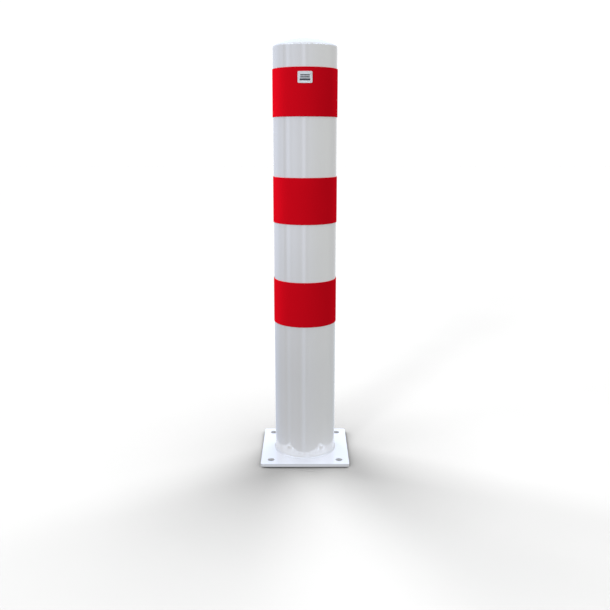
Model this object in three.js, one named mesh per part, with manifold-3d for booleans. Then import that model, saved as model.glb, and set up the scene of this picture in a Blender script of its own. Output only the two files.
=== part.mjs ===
// Fixed bollard post: a coated steel tube standing on a square base plate with four anchor
// holes, closed by a pressed domed cap and wrapped with three red reflective bands.
// Millimetres, +Z up. The origin is the centre of the base plate's underside, -Y is the front.

import * as THREE from "three";
import { mergeVertices } from "three/addons/utils/BufferGeometryUtils.js";
import Module from "manifold-3d";

const wasm = await Module();
wasm.setup();

// ---- driving dimensions ----

const PLATE_SIDE = 220;
const PLATE_THICKNESS = 8;
const PLATE_CORNER_RADIUS = 5;
const ANCHOR_HOLE_DIAMETER = 17; // clears an M16 anchor
const ANCHOR_SPACING = 170;
const DRAIN_HOLE_DIAMETER = 60;

const TUBE_DIAMETER = 152.4;
const WALL_THICKNESS = 3.2;
const RIM_HEIGHT = 1002; // above the plate, where wall and dome would meet in a sharp rim
const DOME_RADIUS = 175;
const SHOULDER_RADIUS = 4;
const CAP_SKIRT = 8; // straight wall of the pressed cap, measured down from the sharp rim
const CAP_WELD_HEIGHT = 4;
const CAP_WELD_ROOT = 0.6; // how far the weld stands into the tube
const BASE_WELD_LEG = 3;
const BASE_WELD_BULGE = 0.3;

const BAND_HEIGHT = 110;
const BAND_PITCH = 250;
const BAND_THICKNESS = 1.5;
const TOP_BAND_EDGE = 950; // above the plate
const BAND_SEAM_GAP = 1.6;

const LABEL_WIDTH = 34;
const LABEL_HEIGHT = 26;
const LABEL_CORNER_RADIUS = 3;
const LABEL_THICKNESS = 0.7;
const LABEL_CLEARANCE = 0.3;
const LABEL_CENTRE = 927; // above the plate

// Every ring round the post has this many facets, in the same places, so that rings that
// touch meet facet to facet.
const FACETS = 96;
const HOLE_STEPS = 32;
const DRAIN_STEPS = 48;
const CORNER_STEPS = 5;
const DOME_STEPS = 9;
const SHOULDER_STEPS = 3;
const WELD_STEPS = 3;

const tubeRadius = TUBE_DIAMETER / 2;
const boreRadius = tubeRadius - WALL_THICKNESS;
const bandRadius = tubeRadius + BAND_THICKNESS;
const capBottom = RIM_HEIGHT - CAP_SKIRT;
const capWeldBottom = capBottom - CAP_WELD_HEIGHT;

// ---- materials ----

const whiteCoat = () =>
  new THREE.MeshStandardMaterial({ color: 0xeef0f4, roughness: 0.22, metalness: 0 });
const redFilm = () =>
  new THREE.MeshStandardMaterial({ color: 0xc00818, roughness: 0.42, metalness: 0 });
const labelMetal = () =>
  new THREE.MeshStandardMaterial({ color: 0xd6dadd, roughness: 0.35, metalness: 0.6 });

// ---- shape helpers ----

// A ring turned about +Z from a profile of [radius, height] points.
function turned(profile) {
  const points = profile.map(([radius, height]) => new THREE.Vector2(radius, height));
  return new THREE.LatheGeometry(points, FACETS).rotateX(Math.PI / 2);
}

function extruded(shape, height) {
  return new THREE.ExtrudeGeometry(shape, { depth: height, bevelEnabled: false });
}

function circle(x, y, radius, steps) {
  return Array.from({ length: steps }, (_, i) => {
    const angle = (2 * Math.PI * i) / steps;
    return new THREE.Vector2(x + radius * Math.cos(angle), y + radius * Math.sin(angle));
  });
}

function roundedRectangle(width, height, radius, steps) {
  const points = [];
  const corners = [[1, 1], [-1, 1], [-1, -1], [1, -1]];
  corners.forEach(([sideX, sideY], quarter) => {
    for (let i = 0; i <= steps; i++) {
      const angle = ((quarter + i / steps) * Math.PI) / 2;
      const x = sideX * (width / 2 - radius) + radius * Math.cos(angle);
      const y = sideY * (height / 2 - radius) + radius * Math.sin(angle);
      points.push(new THREE.Vector2(x, y));
    }
  });
  return points;
}

// The point of a faceted ring at an angle from the front, counted towards +X.
function facetPoint(radius, angle) {
  const step = (2 * Math.PI) / FACETS;
  const facetMiddle = (Math.floor(angle / step) + 0.5) * step;
  const reach = (radius * Math.cos(step / 2)) / Math.cos(angle - facetMiddle);
  return new THREE.Vector2(reach * Math.sin(angle), -reach * Math.cos(angle));
}

// A strip bent round the post, symmetric about the front, in plan.
function bentStrip(innerRadius, outerRadius, halfAngle) {
  const step = (2 * Math.PI) / FACETS;
  const whole = Math.ceil(halfAngle / step) - 1;
  const angles = [-halfAngle];
  for (let i = -whole; i <= whole; i++) angles.push(i * step);
  angles.push(halfAngle);
  const outer = angles.map((angle) => facetPoint(outerRadius, angle));
  const inner = angles.map((angle) => facetPoint(innerRadius, angle)).reverse();
  return new THREE.Shape([...outer, ...inner]);
}

// A dome and its rounded shoulder, from the crown on the axis out to the upright wall.
function domeProfile(wallRadius, domeRadius, shoulderRadius, domeCentre) {
  const centreRadius = wallRadius - shoulderRadius;
  const reach = domeRadius - shoulderRadius;
  const centreHeight = domeCentre + Math.sqrt(reach ** 2 - centreRadius ** 2);
  const blend = Math.asin(centreRadius / reach);
  const points = [];
  for (let i = 0; i < DOME_STEPS; i++) {
    const angle = (blend * i) / DOME_STEPS;
    points.push([domeRadius * Math.sin(angle), domeCentre + domeRadius * Math.cos(angle)]);
  }
  for (let i = 0; i <= SHOULDER_STEPS; i++) {
    const angle = blend + ((Math.PI / 2 - blend) * i) / SHOULDER_STEPS;
    const radius = centreRadius + shoulderRadius * Math.sin(angle);
    points.push([radius, centreHeight + shoulderRadius * Math.cos(angle)]);
  }
  return points;
}

function toSolid(geometry) {
  const bare = geometry.clone();
  bare.deleteAttribute("normal");
  bare.deleteAttribute("uv");
  const merged = mergeVertices(bare);
  return new wasm.Manifold(
    new wasm.Mesh({
      numProp: 3,
      vertProperties: merged.getAttribute("position").array,
      triVerts: new Uint32Array(merged.index.array),
    }),
  );
}

function toGeometry(solid) {
  const mesh = solid.getMesh();
  return new THREE.BufferGeometry()
    .setAttribute("position", new THREE.BufferAttribute(mesh.vertProperties, 3))
    .setIndex(new THREE.BufferAttribute(mesh.triVerts, 1));
}

function piece(name, geometry, material, height) {
  const mesh = new THREE.Mesh(geometry, material);
  mesh.name = name;
  mesh.position.z = height;
  return mesh;
}

// ---- sub-parts, each with its own height 0 at its foot ----

function basePlate() {
  const shape = new THREE.Shape(
    roundedRectangle(PLATE_SIDE, PLATE_SIDE, PLATE_CORNER_RADIUS, CORNER_STEPS),
  );
  for (const sideX of [-1, 1]) {
    for (const sideY of [-1, 1]) {
      const x = (sideX * ANCHOR_SPACING) / 2;
      const y = (sideY * ANCHOR_SPACING) / 2;
      shape.holes.push(new THREE.Path(circle(x, y, ANCHOR_HOLE_DIAMETER / 2, HOLE_STEPS)));
    }
  }
  shape.holes.push(new THREE.Path(circle(0, 0, DRAIN_HOLE_DIAMETER / 2, DRAIN_STEPS)));
  return extruded(shape, PLATE_THICKNESS);
}

function postTube() {
  return turned([
    [boreRadius, 0],
    [tubeRadius, 0],
    [tubeRadius, capWeldBottom],
    [boreRadius, capWeldBottom],
    [boreRadius, 0],
  ]);
}

function domeCap() {
  const domeCentre = CAP_SKIRT - Math.sqrt(DOME_RADIUS ** 2 - tubeRadius ** 2);
  const outside = domeProfile(tubeRadius, DOME_RADIUS, SHOULDER_RADIUS, domeCentre);
  const inside = domeProfile(
    boreRadius,
    DOME_RADIUS - WALL_THICKNESS,
    SHOULDER_RADIUS - WALL_THICKNESS,
    domeCentre,
  );
  return turned([...inside, [boreRadius, 0], [tubeRadius, 0], ...outside.reverse()]);
}

// Butt weld, ground flush outside, with a low root bead inside.
function capWeld() {
  return turned([
    [boreRadius, 0],
    [tubeRadius, 0],
    [tubeRadius, CAP_WELD_HEIGHT],
    [boreRadius, CAP_WELD_HEIGHT],
    [boreRadius - CAP_WELD_ROOT, CAP_WELD_HEIGHT / 2],
    [boreRadius, 0],
  ]);
}

// Fillet weld round the tube's foot, slightly convex.
function baseWeld() {
  const profile = [[tubeRadius, 0]];
  for (let i = 0; i <= WELD_STEPS; i++) {
    const along = i / WELD_STEPS;
    const bulge = (BASE_WELD_BULGE * Math.sin(Math.PI * along)) / Math.SQRT2;
    profile.push([
      tubeRadius + BASE_WELD_LEG * (1 - along) + bulge,
      BASE_WELD_LEG * along + bulge,
    ]);
  }
  profile[profile.length - 1][0] = tubeRadius;
  profile.push([tubeRadius, 0]);
  return turned(profile);
}

// One wrap of film, its two ends a narrow gap apart at the back.
function redBand() {
  const halfAngle = Math.PI - BAND_SEAM_GAP / 2 / bandRadius;
  return extruded(bentStrip(tubeRadius, bandRadius, halfAngle), BAND_HEIGHT);
}

// A thin plate bent to the band's curve, with rounded corners.
function labelPlate() {
  const innerRadius = bandRadius + LABEL_CLEARANCE;
  const outerRadius = innerRadius + LABEL_THICKNESS;
  const halfAngle = Math.asin(LABEL_WIDTH / 2 / innerRadius) * 1.1;
  const bent = extruded(bentStrip(innerRadius, outerRadius, halfAngle), 2 * LABEL_HEIGHT);
  bent.translate(0, 0, -LABEL_HEIGHT);
  const outline = new THREE.Shape(
    roundedRectangle(LABEL_WIDTH, LABEL_HEIGHT, LABEL_CORNER_RADIUS, CORNER_STEPS),
  );
  const punch = extruded(outline, 2 * outerRadius).rotateX(Math.PI / 2);
  return toGeometry(toSolid(bent).intersect(toSolid(punch)));
}

// ---- assembly ----

const bollard = new THREE.Group();
bollard.add(piece("base_plate", basePlate(), whiteCoat(), 0));

const post = new THREE.Group();
post.position.z = PLATE_THICKNESS;
post.add(piece("post_tube", postTube(), whiteCoat(), 0));
post.add(piece("base_weld", baseWeld(), whiteCoat(), 0));
post.add(piece("cap_weld", capWeld(), whiteCoat(), capWeldBottom));
post.add(piece("dome_cap", domeCap(), whiteCoat(), capBottom));
["top", "middle", "bottom"].forEach((place, i) => {
  const foot = TOP_BAND_EDGE - BAND_HEIGHT - i * BAND_PITCH;
  post.add(piece("red_band_" + place, redBand(), redFilm(), foot));
});
post.add(piece("label_plate", labelPlate(), labelMetal(), LABEL_CENTRE));
bollard.add(post);

export default bollard;
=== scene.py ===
"""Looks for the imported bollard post: smooth, detailed pieces, materials, studio and camera.

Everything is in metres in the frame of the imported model: +Z up, -Y the front.
"""

import math
import random

import bmesh
import bpy
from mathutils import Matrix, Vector


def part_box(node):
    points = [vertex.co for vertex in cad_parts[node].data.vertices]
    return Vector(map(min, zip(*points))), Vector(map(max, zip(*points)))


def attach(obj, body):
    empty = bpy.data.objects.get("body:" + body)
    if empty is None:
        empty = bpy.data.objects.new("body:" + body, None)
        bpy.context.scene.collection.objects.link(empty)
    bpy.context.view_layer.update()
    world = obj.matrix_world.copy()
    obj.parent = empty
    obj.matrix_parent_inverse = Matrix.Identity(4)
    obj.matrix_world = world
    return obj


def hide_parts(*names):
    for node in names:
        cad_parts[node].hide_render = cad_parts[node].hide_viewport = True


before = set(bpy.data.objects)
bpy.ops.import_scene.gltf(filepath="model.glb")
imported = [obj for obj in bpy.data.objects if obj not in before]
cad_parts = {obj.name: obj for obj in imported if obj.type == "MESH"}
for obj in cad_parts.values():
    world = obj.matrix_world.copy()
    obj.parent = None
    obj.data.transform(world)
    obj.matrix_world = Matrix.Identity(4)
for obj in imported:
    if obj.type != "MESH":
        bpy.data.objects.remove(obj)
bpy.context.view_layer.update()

MM = 0.001
BODY = "root"

# ---- sizes of the pieces; places and outer sizes come from the frame ----

PLATE_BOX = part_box("base_plate")
TUBE_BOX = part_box("post_tube")
CAP_WELD_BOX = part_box("cap_weld")
CAP_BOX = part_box("dome_cap")
LABEL_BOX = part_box("label_plate")

PLATE_CORNER_RADIUS = 5 * MM
PLATE_EDGE_ROUNDING = 0.7 * MM
ANCHOR_HOLE_RADIUS = 8.5 * MM
ANCHOR_OFFSET = 85 * MM
DRAIN_HOLE_RADIUS = 30 * MM

TUBE_RADIUS = TUBE_BOX[1].x
WALL = 3.2 * MM
BORE_RADIUS = TUBE_RADIUS - WALL
DOME_RADIUS = 175 * MM
SHOULDER_RADIUS = 4 * MM
CAP_SKIRT = 8 * MM  # up to where wall and dome would meet in a sharp rim
CAP_WELD_ROOT = 0.6 * MM

BASE_WELD_LEG = 3 * MM
WELD_BULGE = 0.16  # of the leg
WELD_RIPPLE_PITCH = 2.2 * MM
WELD_RIPPLE_DEPTH = 0.09 * MM
WELD_RIPPLE_LAG = 0.9  # how far a ripple's ends trail its middle, in ripples
WELD_DRIFT_POINTS = 48  # round the weld, where the arc's drift is drawn
WELD_DRIFT_OF_LEG = 0.05
WELD_DRIFT_OF_RIPPLE = 0.25
WELD_SEED = 7

BAND_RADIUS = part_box("red_band_top")[1].x
BAND_EDGE_ROUNDING = 0.4 * MM
BAND_SEAM_GAP = 1.6 * MM

LABEL_CORNER_RADIUS = 3 * MM
LABEL_SHEET = 0.5 * MM
LABEL_RIM_WIDTH = 1.9 * MM
LABEL_RELIEF = 0.3 * MM
LABEL_SUNK = 0.15 * MM
LABEL_EDGE_ROUNDING = 0.12 * MM
LABEL_BARS_MM = [(0, 4.6, 22, 2.6), (0, 0.2, 22, 2.6), (0, -5.2, 24, 4.4)]  # x, y, width, height
LABEL_BAR_CORNER_RADIUS = 0.6 * MM
LABEL_BAR_ROUNDING = 0.05 * MM

ROUND_SEGMENTS = 256
DRAIN_HOLE_SEGMENTS = 96
DOME_STEPS = 28
SHOULDER_STEPS = 8
CAP_WELD_STEPS = 6
WELD_STEPS_ALONG = 6  # in each ripple
WELD_STEPS_ACROSS = 8


# ---- materials ----

COAT_IOR = 2.1


class Nodes:
    """A material's node tree, with short calls for adding and linking nodes."""

    def __init__(self, name):
        self.material = bpy.data.materials.new(name)
        self.material.use_nodes = True
        self.tree = self.material.node_tree
        self.shader = self.tree.nodes["Principled BSDF"]
        self.place = self.add("ShaderNodeTexCoord").outputs["Object"]

    def add(self, kind, inputs=None, **settings):
        node = self.tree.nodes.new(kind)
        for key, value in settings.items():
            setattr(node, key, value)
        for key, value in (inputs or {}).items():
            if isinstance(value, bpy.types.NodeSocket):
                self.tree.links.new(value, node.inputs[key])
            else:
                node.inputs[key].default_value = value
        return node

    def noise(self, scale, detail=2.0, roughness=0.5, stretch=(1, 1, 1)):
        """Noise over the object, its features about 1 / scale metres across."""
        place = self.add("ShaderNodeMapping", {"Vector": self.place, "Scale": stretch})
        inputs = {
            "Vector": place.outputs["Vector"],
            "Scale": scale,
            "Detail": detail,
            "Roughness": roughness,
        }
        return self.add("ShaderNodeTexNoise", inputs).outputs["Fac"]

    def cells(self, scale, feature="F1", output="Distance"):
        inputs = {"Vector": self.place, "Scale": scale}
        return self.add("ShaderNodeTexVoronoi", inputs, feature=feature).outputs[output]

    def ramp(self, value, stops):
        node = self.add("ShaderNodeValToRGB", {"Fac": value})
        for _ in range(len(stops) - 2):
            node.color_ramp.elements.new(0.5)
        for element, (position, colour) in zip(node.color_ramp.elements, stops):
            element.position = position
            element.color = (*colour, 1)
        return node.outputs["Color"]

    def multiplied(self, colour_a, colour_b):
        inputs = {"Fac": 1.0, "Color1": colour_a, "Color2": colour_b}
        return self.add("ShaderNodeMixRGB", inputs, blend_type="MULTIPLY").outputs["Color"]

    def spread(self, value, low, high):
        """The value's usual range, 0.3 to 0.7, mapped to low and high."""
        inputs = {"Value": value, "From Min": 0.3, "From Max": 0.7, "To Min": low, "To Max": high}
        return self.add("ShaderNodeMapRange", inputs).outputs["Result"]

    def bump(self, height, distance, strength=1.0, under=None):
        inputs = {"Height": height, "Distance": distance, "Strength": strength}
        if under is not None:
            inputs["Normal"] = under
        return self.add("ShaderNodeBump", inputs).outputs["Normal"]

    def finish(self, **inputs):
        for key, value in inputs.items():
            socket = self.shader.inputs[key.replace("_", " ")]
            if isinstance(value, bpy.types.NodeSocket):
                self.tree.links.new(value, socket)
            else:
                socket.default_value = value
        return self.material


def white_powder_coat():
    """Gloss white powder coat: faint tone drift and a fine orange-peel surface."""
    n = Nodes("white_powder_coat")
    drift = n.noise(6, detail=3)
    colour = n.ramp(drift, [(0.3, (0.855, 0.855, 0.860)), (0.7, (0.885, 0.885, 0.890))])
    peel = n.bump(n.noise(420, detail=1), 0.005 * MM, 0.35)
    wave = n.bump(n.noise(45, detail=1), 0.01 * MM, 0.35, under=peel)
    return n.finish(
        Base_Color=colour,
        Roughness=n.spread(n.noise(90, detail=3), 0.01, 0.02),
        IOR=COAT_IOR,
        Normal=wave,
    )


def coated_weld():
    """The same coat over weld metal: a little softer, with fine grain; its tone is darker than the
    coat's, painted shade at the foot of the post.
    """
    n = Nodes("coated_weld")
    # Painted shade: a darker tone than the coat's, standing in for the shade where the tube meets
    # the plate.
    colour = n.ramp(n.noise(80, detail=3), [(0.3, (0.72, 0.72, 0.73)), (0.7, (0.75, 0.75, 0.76))])
    grain = n.bump(n.noise(1500, detail=3), 0.03 * MM, 0.4)
    return n.finish(
        Base_Color=colour,
        Roughness=n.spread(n.noise(300), 0.04, 0.07),
        IOR=COAT_IOR,
        Normal=grain,
    )


def bare_steel():
    """Uncoated hot-rolled steel inside the tube, mottled grey."""
    n = Nodes("bare_steel")
    colour = n.ramp(
        n.noise(35, detail=6, roughness=0.65),
        [(0.35, (0.16, 0.155, 0.15)), (0.55, (0.26, 0.26, 0.26)), (0.7, (0.33, 0.325, 0.32))],
    )
    scale = n.bump(n.noise(500, detail=4), 0.05 * MM, 0.6)
    return n.finish(
        Base_Color=colour,
        Metallic=0.85,
        Roughness=n.spread(n.noise(120, detail=4), 0.42, 0.6),
        Normal=scale,
    )


def red_film():
    """Satin red reflective film: glass-bead grain under a thin face, faint tone drift."""
    n = Nodes("red_reflective_film")
    beads = n.cells(1700)
    bead_tone = n.ramp(beads, [(0.0, (0.60, 0.0029, 0.0107)), (0.75, (0.555, 0.0026, 0.0096))])
    drift = n.ramp(n.noise(9, detail=3), [(0.3, (0.95, 0.95, 0.95)), (0.7, (1.0, 1.0, 1.0))])
    colour = n.multiplied(bead_tone, drift)
    grain = n.bump(beads, 0.02 * MM, 0.35)
    return n.finish(
        Base_Color=colour,
        Roughness=n.spread(n.noise(60, detail=3), 0.46, 0.56),
        Specular_IOR_Level=0.0,
        Normal=grain,
    )


def label_metal():
    """Satin anodised aluminium with a fine brushed grain along X."""
    n = Nodes("label_metal")
    brushed = n.noise(900, detail=3, stretch=(0.04, 0.04, 1))
    colour = n.ramp(brushed, [(0.3, (0.63, 0.63, 0.60)), (0.7, (0.75, 0.75, 0.71))])
    return n.finish(
        Base_Color=colour,
        Metallic=0.35,
        Roughness=n.spread(brushed, 0.32, 0.46),
        Normal=n.bump(brushed, 0.01 * MM, 0.5),
    )


def label_print():
    """Dark printed bars with a slightly mottled, matt ink."""
    n = Nodes("label_print")
    mottle = n.noise(700, detail=3)
    colour = n.ramp(mottle, [(0.3, (0.022, 0.023, 0.025)), (0.7, (0.045, 0.046, 0.05))])
    return n.finish(
        Base_Color=colour,
        Roughness=n.spread(n.noise(500), 0.45, 0.6),
        Normal=n.bump(n.noise(2500), 0.006 * MM, 0.5),
    )


# ---- mesh helpers ----

def piece(name, mesh, materials, slot, *nodes):
    """A shown piece that rides on the body and stands for the named CAD nodes."""
    obj = bpy.data.objects.new(name, mesh)
    bpy.context.scene.collection.objects.link(obj)
    for material in materials:
        mesh.materials.append(material)
    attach(obj, BODY)
    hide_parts(*nodes)
    return obj


def to_mesh(bm, name, sharp_degrees=35):
    """A smooth-shaded mesh from bm, with creases where faces meet at a sharp angle."""
    bmesh.ops.recalc_face_normals(bm, faces=bm.faces)
    mesh = bpy.data.meshes.new(name)
    bm.to_mesh(mesh)
    bm.free()
    mesh.shade_smooth()
    mesh.set_sharp_from_angle(angle=math.radians(sharp_degrees))
    return mesh


def weight_normals(obj):
    """Keeps broad flat faces flat in the shading, with the rounding left to the edges."""
    modifier = obj.modifiers.new("weighted_normals", "WEIGHTED_NORMAL")
    modifier.keep_sharp = True


def bridge(bm, ring_a, ring_b):
    """Quads between two closed rings of vertices; a ring of one vertex is a pole."""
    count = max(len(ring_a), len(ring_b))
    for i in range(count):
        j = (i + 1) % count
        corners = [ring_a[i % len(ring_a)], ring_a[j % len(ring_a)]]
        corners += [ring_b[j % len(ring_b)], ring_b[i % len(ring_b)]]
        bm.faces.new(list(dict.fromkeys(corners)))


def around(radius, angle, height):
    """A point at an angle about +Z, counted from +X."""
    return (radius * math.cos(angle), radius * math.sin(angle), height)


def around_from_front(radius, angle, height):
    """A point at an angle about +Z, counted from the front, -Y."""
    return (radius * math.sin(angle), -radius * math.cos(angle), height)


def turned(name, profile, closed=True):
    """A solid turned about +Z from (radius, height) points; open profiles end on the axis."""
    bm = bmesh.new()
    rings = []
    for radius, height in profile:
        steps = ROUND_SEGMENTS if radius > 0 else 1
        angles = [2 * math.pi * i / ROUND_SEGMENTS for i in range(steps)]
        rings.append([bm.verts.new(around(radius, angle, height)) for angle in angles])
    following = rings[1:] + rings[:1] if closed else rings[1:]
    for ring_a, ring_b in zip(rings, following):
        bridge(bm, ring_a, ring_b)
    return to_mesh(bm, name)


def arc(centre, radius, start, end, steps):
    """Points of a circular arc, angles in degrees counted from the first axis."""
    points = []
    for i in range(steps + 1):
        angle = math.radians(start + (end - start) * i / steps)
        points.append((centre[0] + radius * math.cos(angle), centre[1] + radius * math.sin(angle)))
    return points


def rounded_rectangle(width, height, radius, steps=8):
    """A function of an inset that gives the outline's points, always the same number."""

    def outline(inset):
        corner = max(radius - inset, 0.01 * MM)
        x, y = width / 2 - inset - corner, height / 2 - inset - corner
        points = []
        for quarter, (side_x, side_y) in enumerate([(1, 1), (-1, 1), (-1, -1), (1, -1)]):
            centre = (side_x * x, side_y * y)
            points += arc(centre, corner, 90 * quarter, 90 * (quarter + 1), steps)
        return points

    return outline


def round_hole(x, y, radius, steps=64):
    """A function of an inset that gives a hole's points: the hole grows as the edge retreats."""

    def outline(inset):
        return arc((x, y), radius + inset, 0, 360, steps)[:-1]

    return outline


def slab(outlines, low, high, rounding, steps=4):
    """A flat plate between two heights with rounded edges round its outline and its holes."""
    bm = bmesh.new()
    low_edges, high_edges = [], []
    for outline in outlines:
        rings = []
        for i in range(steps + 1):
            angle = math.pi / 2 * i / steps
            inset = rounding * (1 - math.sin(angle))
            lift = rounding * (1 - math.cos(angle))
            rings.append([bm.verts.new((x, y, low + lift)) for x, y in outline(inset)])
        for i in range(steps + 1):
            angle = math.pi / 2 * i / steps
            inset = rounding * (1 - math.cos(angle))
            drop = rounding * (1 - math.sin(angle))
            rings.append([bm.verts.new((x, y, high - drop)) for x, y in outline(inset)])
        for ring_a, ring_b in zip(rings, rings[1:]):
            bridge(bm, ring_a, ring_b)
        for ring, edges in ((rings[0], low_edges), (rings[-1], high_edges)):
            for a, b in zip(ring, ring[1:] + ring[:1]):
                edges.append(bm.edges.get((a, b)))
    for edges in (low_edges, high_edges):
        bmesh.ops.triangle_fill(bm, use_beauty=True, edges=edges)
    return bm


# ---- pieces ----

def make_base_plate(coat):
    width, depth = (PLATE_BOX[1] - PLATE_BOX[0])[:2]
    outlines = [rounded_rectangle(width, depth, PLATE_CORNER_RADIUS)]
    for side_x in (-1, 1):
        for side_y in (-1, 1):
            x, y = side_x * ANCHOR_OFFSET, side_y * ANCHOR_OFFSET
            outlines.append(round_hole(x, y, ANCHOR_HOLE_RADIUS))
    outlines.append(round_hole(0, 0, DRAIN_HOLE_RADIUS, steps=DRAIN_HOLE_SEGMENTS))
    bm = slab(outlines, PLATE_BOX[0].z, PLATE_BOX[1].z, PLATE_EDGE_ROUNDING)
    mesh = to_mesh(bm, "base_plate_coated", sharp_degrees=60)
    plate = piece("base_plate_coated", mesh, [coat], "white_powder_coat", "base_plate")
    weight_normals(plate)
    return plate


def bare_inside(mesh, radius):
    """Gives the second material to the faces nearer the axis than a radius."""
    for face in mesh.polygons:
        if Vector(face.center[:2]).length < radius:
            face.material_index = 1


def make_tube(coat, steel):
    low, high = TUBE_BOX[0].z, TUBE_BOX[1].z
    profile = [(BORE_RADIUS, low), (TUBE_RADIUS, low), (TUBE_RADIUS, high), (BORE_RADIUS, high)]
    mesh = turned("post_tube_coated", profile)
    piece("post_tube_coated", mesh, [coat, steel], "white_powder_coat", "post_tube")
    bare_inside(mesh, TUBE_RADIUS - WALL / 2)


def dome_profile(wall_radius, dome_radius, shoulder_radius, dome_centre):
    """A dome from its crown out over the rounded shoulder to the upright wall."""
    centre_radius = wall_radius - shoulder_radius
    reach = dome_radius - shoulder_radius
    centre = (centre_radius, dome_centre + math.sqrt(reach**2 - centre_radius**2))
    blend = math.degrees(math.acos(centre_radius / reach))
    dome = arc((0, dome_centre), dome_radius, 90, blend, DOME_STEPS)
    dome[0] = (0, dome_centre + dome_radius)
    return dome + arc(centre, shoulder_radius, blend, 0, SHOULDER_STEPS)[1:]


def make_cap(coat, steel):
    foot = CAP_BOX[0].z
    dome_centre = foot + CAP_SKIRT - math.sqrt(DOME_RADIUS**2 - TUBE_RADIUS**2)
    outside = dome_profile(TUBE_RADIUS, DOME_RADIUS, SHOULDER_RADIUS, dome_centre)
    inside = dome_profile(BORE_RADIUS, DOME_RADIUS - WALL, SHOULDER_RADIUS - WALL, dome_centre)
    rim = [(TUBE_RADIUS, foot), (BORE_RADIUS, foot)]
    mesh = turned("dome_cap_coated", outside + rim + inside[::-1], closed=False)
    piece("dome_cap_coated", mesh, [coat, steel], "white_powder_coat", "dome_cap")
    for face in mesh.polygons:
        radius, height = Vector(face.center[:2]).length, face.center[2] - dome_centre
        if radius < TUBE_RADIUS - WALL / 2 and math.hypot(radius, height) < DOME_RADIUS - WALL / 2:
            face.material_index = 1


def make_cap_weld(coat, steel):
    """Ring of weld metal, ground flush outside, its root bead proud inside."""
    low, high = CAP_WELD_BOX[0].z, CAP_WELD_BOX[1].z
    root = []
    for i in range(CAP_WELD_STEPS + 1):
        bulge = CAP_WELD_ROOT * math.sin(math.pi * i / CAP_WELD_STEPS)
        root.append((BORE_RADIUS - bulge, high - (high - low) * i / CAP_WELD_STEPS))
    mesh = turned("cap_weld_coated", [(TUBE_RADIUS, low), (TUBE_RADIUS, high), *root])
    piece("cap_weld_coated", mesh, [coat, steel], "coated_weld", "cap_weld")
    bare_inside(mesh, TUBE_RADIUS - WALL / 2)


def make_base_weld(weld):
    """Fillet weld with the overlapping ripples that a welding arc leaves."""
    foot = PLATE_BOX[1].z
    ripples = round(2 * math.pi * TUBE_RADIUS / WELD_RIPPLE_PITCH)
    segments = ripples * WELD_STEPS_ALONG
    draw = random.Random(WELD_SEED)
    wobble = [draw.uniform(-1, 1) for _ in range(WELD_DRIFT_POINTS)]
    bm = bmesh.new()
    columns = []
    for i in range(segments):
        angle = 2 * math.pi * i / segments
        place = i / segments * len(wobble)
        near, share = int(place), place % 1
        drift = wobble[near] * (1 - share) + wobble[(near + 1) % len(wobble)] * share
        leg = BASE_WELD_LEG * (1 + WELD_DRIFT_OF_LEG * drift)
        column = []
        for j in range(WELD_STEPS_ACROSS + 1):
            across = j / WELD_STEPS_ACROSS
            lag = WELD_RIPPLE_LAG * (2 * across - 1) ** 2
            phase = (i / WELD_STEPS_ALONG + lag + WELD_DRIFT_OF_RIPPLE * drift) % 1
            ripple = WELD_RIPPLE_DEPTH * (1 - phase) ** 1.5 * math.sin(math.pi * across)
            bulge = WELD_BULGE * leg * math.sin(math.pi * across) + ripple
            radius = TUBE_RADIUS + leg * (1 - across) + bulge / math.sqrt(2)
            height = foot + leg * across + bulge / math.sqrt(2)
            column.append(bm.verts.new(around(radius, angle, height)))
        column.append(bm.verts.new(around(TUBE_RADIUS, angle, foot)))
        columns.append(column)
    for column_a, column_b in zip(columns, columns[1:] + columns[:1]):
        bridge(bm, column_a, column_b)
    mesh = to_mesh(bm, "base_weld_coated", sharp_degrees=50)
    piece("base_weld_coated", mesh, [weld], "coated_weld", "base_weld")


def make_band(node, film):
    """One wrap of film with softened edges, its ends a narrow gap apart at the back."""
    low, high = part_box(node)[0].z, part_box(node)[1].z
    edge = BAND_EDGE_ROUNDING
    section = [(TUBE_RADIUS, low), (BAND_RADIUS - edge, low)]
    section += arc((BAND_RADIUS - edge, low + edge), edge, -90, 0, 4)[1:]
    section += arc((BAND_RADIUS - edge, high - edge), edge, 0, 90, 4)
    section += [(TUBE_RADIUS, high)]
    reach = math.pi - BAND_SEAM_GAP / 2 / BAND_RADIUS
    bm = bmesh.new()
    columns = []
    for i in range(ROUND_SEGMENTS + 1):
        angle = -reach + 2 * reach * i / ROUND_SEGMENTS
        points = [around_from_front(radius, angle, height) for radius, height in section]
        columns.append([bm.verts.new(point) for point in points])
    for column_a, column_b in zip(columns, columns[1:]):
        bridge(bm, column_a, column_b)
    bm.faces.new(columns[0])
    bm.faces.new(columns[-1])
    name = node + "_film"
    mesh = to_mesh(bm, name, sharp_degrees=60)
    band = piece(name, mesh, [film], "red_reflective_film", node)
    weight_normals(band)
    return band


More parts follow.
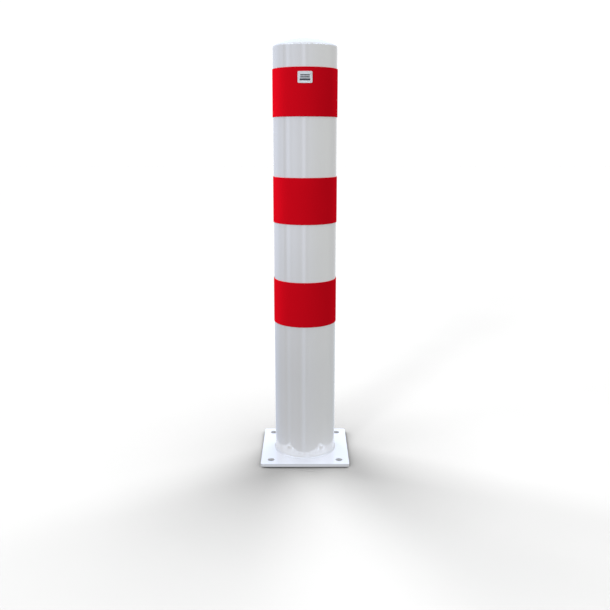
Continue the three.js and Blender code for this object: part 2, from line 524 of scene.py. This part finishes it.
def make_label(metal, ink):
    """A plain plate bent to the band, with a raised rim and dark bars; no lettering."""
    width = LABEL_BOX[1].x - LABEL_BOX[0].x
    height = LABEL_BOX[1].z - LABEL_BOX[0].z
    middle = (LABEL_BOX[0].z + LABEL_BOX[1].z) / 2
    outer = rounded_rectangle(width, height, LABEL_CORNER_RADIUS)
    opening = rounded_rectangle(
        width - 2 * LABEL_RIM_WIDTH,
        height - 2 * LABEL_RIM_WIDTH,
        LABEL_CORNER_RADIUS - LABEL_RIM_WIDTH / 2,
    )
    top = LABEL_SHEET + LABEL_RELIEF
    layers = [(slab([outer], 0, LABEL_SHEET, LABEL_EDGE_ROUNDING), 0)]
    rim = [lambda inset: outer(inset + LABEL_SUNK), lambda inset: opening(-inset)]
    layers.append((slab(rim, LABEL_SHEET - LABEL_SUNK, top, LABEL_EDGE_ROUNDING), 0))
    for x, y, bar_width, bar_height in LABEL_BARS_MM:
        bar = rounded_rectangle(
            bar_width * MM, bar_height * MM, LABEL_BAR_CORNER_RADIUS, steps=4
        )

        def shifted(inset, bar=bar, x=x, y=y):
            return [(px + x * MM, py + y * MM) for px, py in bar(inset)]

        bar_top = LABEL_SHEET + LABEL_RELIEF / 2
        raised = slab([shifted], LABEL_SHEET - LABEL_SUNK, bar_top, LABEL_BAR_ROUNDING, steps=2)
        layers.append((raised, 1))
    joined = bmesh.new()
    for layer, material_index in layers:
        for face in layer.faces:
            face.material_index = material_index
        mesh = bpy.data.meshes.new("layer")
        layer.to_mesh(mesh)
        layer.free()
        joined.from_mesh(mesh)
        bpy.data.meshes.remove(mesh)
    cuts = round(width / MM)
    for i in range(1, cuts):
        geometry = joined.verts[:] + joined.edges[:] + joined.faces[:]
        place = (-width / 2 + width * i / cuts, 0, 0)
        bmesh.ops.bisect_plane(joined, geom=geometry, dist=1e-7, plane_co=place, plane_no=(1, 0, 0))
    for vert in joined.verts:
        angle = vert.co.x / BAND_RADIUS
        vert.co = around_from_front(BAND_RADIUS + vert.co.z, angle, middle + vert.co.y)
    mesh = to_mesh(joined, "label_plate_plain", sharp_degrees=40)
    weight_normals(piece("label_plate_plain", mesh, [metal, ink], "label_metal", "label_plate"))


# ---- studio ----

CAMERA_DISTANCE = 1.7492  # in front of the post's axis
CAMERA_HEIGHT = 0.799
CAMERA_PITCH = 11.408  # degrees below the horizon
CAMERA_LENS = 42.0
CAMERA_SHIFT = -0.038

# Softboxes round the post: azimuth (degrees, from +X towards +Y), elevation and distance
# from the post's upper half, side length, strength there, colour.
SOFTBOX_TARGET = 0.62
OVERHEAD_SOFTBOX = {
    "softbox_overhead": (270, 88, 10.0, 4.0, 0.18, (0.87, 1.0, 1.13)),
}
FILM_SOFTBOXES = {
    "softbox_back_right": (45, 20, 2.2, 0.6, 0.48, (1.0, 1.0, 1.0)),
    "softbox_back_left": (147, 20, 2.2, 0.6, 0.85, (1.0, 1.0, 1.0)),
    "softbox_front_left": (240, 32, 2.0, 0.5, 0.22, (1.0, 1.0, 1.0)),
    "softbox_side_left": (205, 32, 2.0, 0.6, 0.15, (1.0, 1.0, 1.0)),
}

# Far lights for the soft shadows on the floor and on the plate: azimuth, elevation, apparent
# size and share, which is the brightness that the light alone gives the surface.
FLOOR_LIGHTS = {
    "floor_back_right": (60, 50, 36, 0.465),
    "floor_back_left": (128, 42, 28, 0.295),
    "floor_side_left": (150, 20, 12, 0.09),
    "floor_front_left": (240, 26, 12, 0.07),
    "floor_side_front": (204, 24, 14, 0.02),
}
PLATE_LIGHTS = {
    "plate_back_right": (60, 50, 36, 0.19),
    "plate_back_left": (128, 42, 28, 0.13),
}
PLATE_LIGHT_COLOUR = (0.90, 0.97, 1.1)

# A faint blue fill that only the plate's top gets, from overhead.
PLATE_FILL = {"plate_fill": (270, 88, 60, 0.055)}
PLATE_FILL_COLOUR = (0.1, 0.7, 2.4)

# What gloss reflects round the horizon: bright cards with darker gaps between them, as
# azimuth in degrees and brightness, and their tint. Towards the floor they fade to a share.
CARDS = [
    (0, 0.70), (25, 0.50), (45, 0.58), (65, 0.85), (115, 1.00), (147, 1.22), (165, 0.98),
    (182, 1.05), (189, 0.65), (196, 0.85), (203, 1.45), (210, 1.40), (218, 1.00), (229, 1.15),
    (250, 0.90), (257, 0.88), (262, 1.30), (267, 1.45), (276, 0.72), (288, 0.88), (305, 0.80),
    (320, 0.72),
]
CARD_TINTS = [
    (0, (0.92, 1.0, 0.93)), (64, (0.99, 1.0, 1.01)), (150, (0.87, 1.0, 1.33)),
    (265, (0.91, 1.0, 1.24)), (318, (0.91, 1.0, 1.01)),
]
CARDS_LOW_SHARE = [
    (0, 0.60), (64, 0.85), (115, 0.68), (160, 0.34), (250, 0.25), (262, 0.48), (345, 0.56),
]
CARDS_LOW_TINT = (0.9, 1.0, 1.1)
SKY_BEHIND = (1.05, 1.25, 1.7)
SKY_IN_FRONT = (3.6, 4.2, 5.4)
SKY_OVERHEAD = (1.0, 1.15, 1.4)
AMBIENT_ABOVE = 0.84
AMBIENT_BELOW = 0.42
BACKGROUND = 1.05

# Limits between which the world's parts blend into each other: of the direction's Z, or of its
# Y from front to back.
MATT_HORIZON = (-0.1, 0.1)
CARDS_FADE = (-0.34, -0.08)
CARDS_TO_SKY = (0.15, 0.45)
SKY_FRONT_TO_BACK = (-0.2, 0.2)
SKY_TO_OVERHEAD = (0.55, 0.8)

WHITE = (1, 1, 1)
COAT_TONE = 0.87
FLOOR_SIZE = 40.0
FLOOR_DROP = 0.0002
FLOOR_TONE = 0.095
# Painted shade on the floor near the object: how far the occlusion reaches and how deeply it
# darkens the colour.
FLOOR_PAINTED_SHADE_REACH = 0.5
FLOOR_PAINTED_SHADE_DEPTH = 1.2
# Painted shade: the dark tone of the sheet under the plate, which darkens the anchor holes.
UNDER_PLATE_SHADE_TONE = 0.25
UNDER_PLATE_INSET = 2 * MM


def make_camera():
    data = bpy.data.cameras.new("camera")
    data.lens = CAMERA_LENS
    data.shift_y = CAMERA_SHIFT
    camera = bpy.data.objects.new("camera", data)
    camera.location = (0, -CAMERA_DISTANCE, CAMERA_HEIGHT)
    camera.rotation_euler = (math.radians(90 - CAMERA_PITCH), 0, 0)
    bpy.context.scene.collection.objects.link(camera)
    bpy.context.scene.camera = camera


def place_light(data, name, azimuth, elevation, target, distance, receivers):
    """Puts a light round the target, facing it; it shines on some objects and isn't reflected."""
    az, el = math.radians(azimuth), math.radians(elevation)
    away = Vector((math.cos(az) * math.cos(el), math.sin(az) * math.cos(el), math.sin(el)))
    light = bpy.data.objects.new(name, data)
    light.location = target + away * distance
    light.rotation_euler = (-away).to_track_quat("-Z", "Y").to_euler()
    light.visible_glossy = False
    light.light_linking.receiver_collection = receivers
    bpy.context.scene.collection.objects.link(light)


def make_softboxes(softboxes, receivers):
    """Strength is the brightness that a box alone gives a white surface facing it."""
    target = Vector((0, 0, SOFTBOX_TARGET))
    for name, (azimuth, elevation, distance, side, strength, colour) in softboxes.items():
        data = bpy.data.lights.new(name, "AREA")
        data.size = side
        data.energy = strength * (math.pi * distance) ** 2
        data.color = colour
        place_light(data, name, azimuth, elevation, target, distance, receivers)


def make_far_lights(lights, colour, tone, receivers):
    for name, (azimuth, elevation, size, share) in lights.items():
        data = bpy.data.lights.new(name, "SUN")
        data.color = colour
        data.angle = math.radians(size)
        data.energy = math.pi * share / tone / math.sin(math.radians(elevation))
        place_light(data, name, azimuth, elevation, Vector(), 3, receivers)


def floor_sheet(name, width, height, tone):
    """A level stage sheet; returns it with its nodes and its faintly drifting tone."""
    bm = bmesh.new()
    bmesh.ops.create_grid(bm, x_segments=1, y_segments=1, size=width / 2)
    mesh = bpy.data.meshes.new(name)
    bm.to_mesh(mesh)
    bm.free()
    n = Nodes(name)
    tones = [(position, (tone * drift,) * 3) for position, drift in ((0.3, 0.99), (0.7, 1.01))]
    mesh.materials.append(n.material)
    sheet = bpy.data.objects.new(name, mesh)
    sheet.location.z = height
    bpy.context.scene.collection.objects.link(sheet)
    return sheet, n, n.ramp(n.noise(3, detail=4), tones)


def make_floor():
    """A plain floor that only the camera sees, so that the world alone fills from below; near the
    object its colour is darkened by painted shade from an ambient-occlusion node.
    """
    floor, n, tone = floor_sheet("floor", FLOOR_SIZE, -FLOOR_DROP, FLOOR_TONE)
    # Painted shade: the floor's colour is multiplied by its ambient occlusion, so it is darker near
    # the object.
    reach = {"Distance": FLOOR_PAINTED_SHADE_REACH}
    painted_contact_shade = n.add("ShaderNodeAmbientOcclusion", reach).outputs["AO"]
    depth = {0: painted_contact_shade, 1: FLOOR_PAINTED_SHADE_DEPTH}
    shade = n.add("ShaderNodeMath", depth, operation="POWER").outputs["Value"]
    n.finish(Base_Color=n.multiplied(tone, shade), Roughness=1.0, Specular_IOR_Level=0.0)
    floor.visible_diffuse = False
    floor.visible_glossy = False
    return floor


def make_under_plate():
    """The floor's dark part under the plate, which keeps the world's fill out of its holes; its
    dark tone is painted shade that darkens the holes.
    """
    width = PLATE_BOX[1].x - PLATE_BOX[0].x - 2 * UNDER_PLATE_INSET
    _, n, tone = floor_sheet("floor_under_plate", width, -FLOOR_DROP / 2, UNDER_PLATE_SHADE_TONE)
    n.finish(Base_Color=tone, Roughness=1.0, Specular_IOR_Level=0.0)


def light_receivers(name, objects, link_state):
    """A list that a light shines on: the objects alone (INCLUDE) or everything else (EXCLUDE)."""
    receivers = bpy.data.collections.new(name)
    for obj in objects:
        receivers.objects.link(obj)
    for member in receivers.collection_objects:
        member.light_linking.link_state = link_state
    return receivers


def make_world():
    """White behind the object, even light for matt surfaces, and a ring of cards for gloss."""
    world = bpy.data.worlds.new("studio")
    world.use_nodes = True
    tree = world.node_tree
    tree.nodes.clear()

    def add(kind, inputs=None, **settings):
        node = tree.nodes.new(kind)
        for key, value in settings.items():
            setattr(node, key, value)
        for key, value in (inputs or {}).items():
            if isinstance(value, bpy.types.NodeSocket):
                tree.links.new(value, node.inputs[key])
            else:
                node.inputs[key].default_value = value
        return node.outputs

    place = add("ShaderNodeTexCoord")["Generated"]
    direction = add("ShaderNodeSeparateXYZ", {"Vector": place})

    def calculated(operation, *values):
        return add("ShaderNodeMath", dict(enumerate(values)), operation=operation)["Value"]

    azimuth = calculated("ARCTAN2", direction["Y"], direction["X"])
    fraction = calculated("FRACT", calculated("DIVIDE", azimuth, 2 * math.pi))

    def rise(axis, limits):
        inputs = {"Value": direction[axis], "From Min": limits[0], "From Max": limits[1]}
        return add("ShaderNodeMapRange", inputs, interpolation_type="SMOOTHSTEP")["Result"]

    def product(value_a, value_b):
        return add("ShaderNodeVectorMath", {0: value_a, 1: value_b}, operation="MULTIPLY")["Vector"]

    def round_horizon(stops):
        """A value or colour that changes with azimuth."""
        colours = []
        for degrees, level in [*stops, (360, stops[0][1])]:
            colours.append((degrees, (level,) * 3 if isinstance(level, float) else level))
        peak = max(max(colour) for _, colour in colours)
        ramp = add("ShaderNodeValToRGB", {"Fac": fraction})["Color"]
        elements = ramp.node.color_ramp.elements
        for _ in range(len(colours) - 2):
            elements.new(0.5)
        for element, (degrees, colour) in zip(elements, colours):
            element.position = degrees / 360
            element.color = (*(channel / peak for channel in colour), 1)
        return product(ramp, (peak,) * 3)

    def background(colour, strength=1.0):
        colour = colour if isinstance(colour, bpy.types.NodeSocket) else (*colour, 1)
        return add("ShaderNodeBackground", {"Color": colour, "Strength": strength})["Background"]

    def mixed(factor, low, high):
        return add("ShaderNodeMixShader", {0: factor, 1: low, 2: high})["Shader"]

    below, above = background(WHITE, AMBIENT_BELOW), background(WHITE, AMBIENT_ABOVE)
    matt = mixed(rise("Z", MATT_HORIZON), below, above)
    cards = product(round_horizon(CARDS), round_horizon(CARD_TINTS))
    low_cards = product(product(cards, round_horizon(CARDS_LOW_SHARE)), CARDS_LOW_TINT)
    level = mixed(rise("Z", CARDS_FADE), background(low_cards), background(cards))
    front, back = background(SKY_IN_FRONT), background(SKY_BEHIND)
    low_sky = mixed(rise("Y", SKY_FRONT_TO_BACK), front, back)
    sky = mixed(rise("Z", SKY_TO_OVERHEAD), low_sky, background(SKY_OVERHEAD))
    gloss = mixed(rise("Z", CARDS_TO_SKY), level, sky)
    rays = add("ShaderNodeLightPath")
    undiffused = calculated("LESS_THAN", rays["Diffuse Depth"], 0.5)
    mirrored = calculated("MULTIPLY", rays["Is Glossy Ray"], undiffused)
    lit = mixed(mirrored, matt, gloss)
    seen = mixed(rays["Is Camera Ray"], lit, background(WHITE, BACKGROUND))
    add("ShaderNodeOutputWorld", {"Surface": seen})
    bpy.context.scene.world = world


# ---- assembly ----

coat = white_powder_coat()
weld = coated_weld()
steel = bare_steel()
film = red_film()
plate = make_base_plate(coat)
make_tube(coat, steel)
make_cap(coat, steel)
make_cap_weld(coat, steel)
make_base_weld(weld)
bands = [make_band(node, film) for node in ("red_band_top", "red_band_middle", "red_band_bottom")]
make_label(label_metal(), label_print())

make_camera()
make_world()
floor = make_floor()
make_under_plate()
others = light_receivers("all_but_floor_and_plate", [floor, plate], "EXCLUDE")
make_softboxes(OVERHEAD_SOFTBOX, others)
make_softboxes(FILM_SOFTBOXES, light_receivers("film_only", bands, "INCLUDE"))
floor_only = light_receivers("floor_only", [floor], "INCLUDE")
make_far_lights(FLOOR_LIGHTS, WHITE, FLOOR_TONE, floor_only)
plate_only = light_receivers("plate_only", [plate], "INCLUDE")
make_far_lights(PLATE_LIGHTS, PLATE_LIGHT_COLOUR, COAT_TONE, plate_only)
make_far_lights(PLATE_FILL, PLATE_FILL_COLOUR, COAT_TONE, plate_only)
bpy.context.scene.view_settings.view_transform = "Standard"
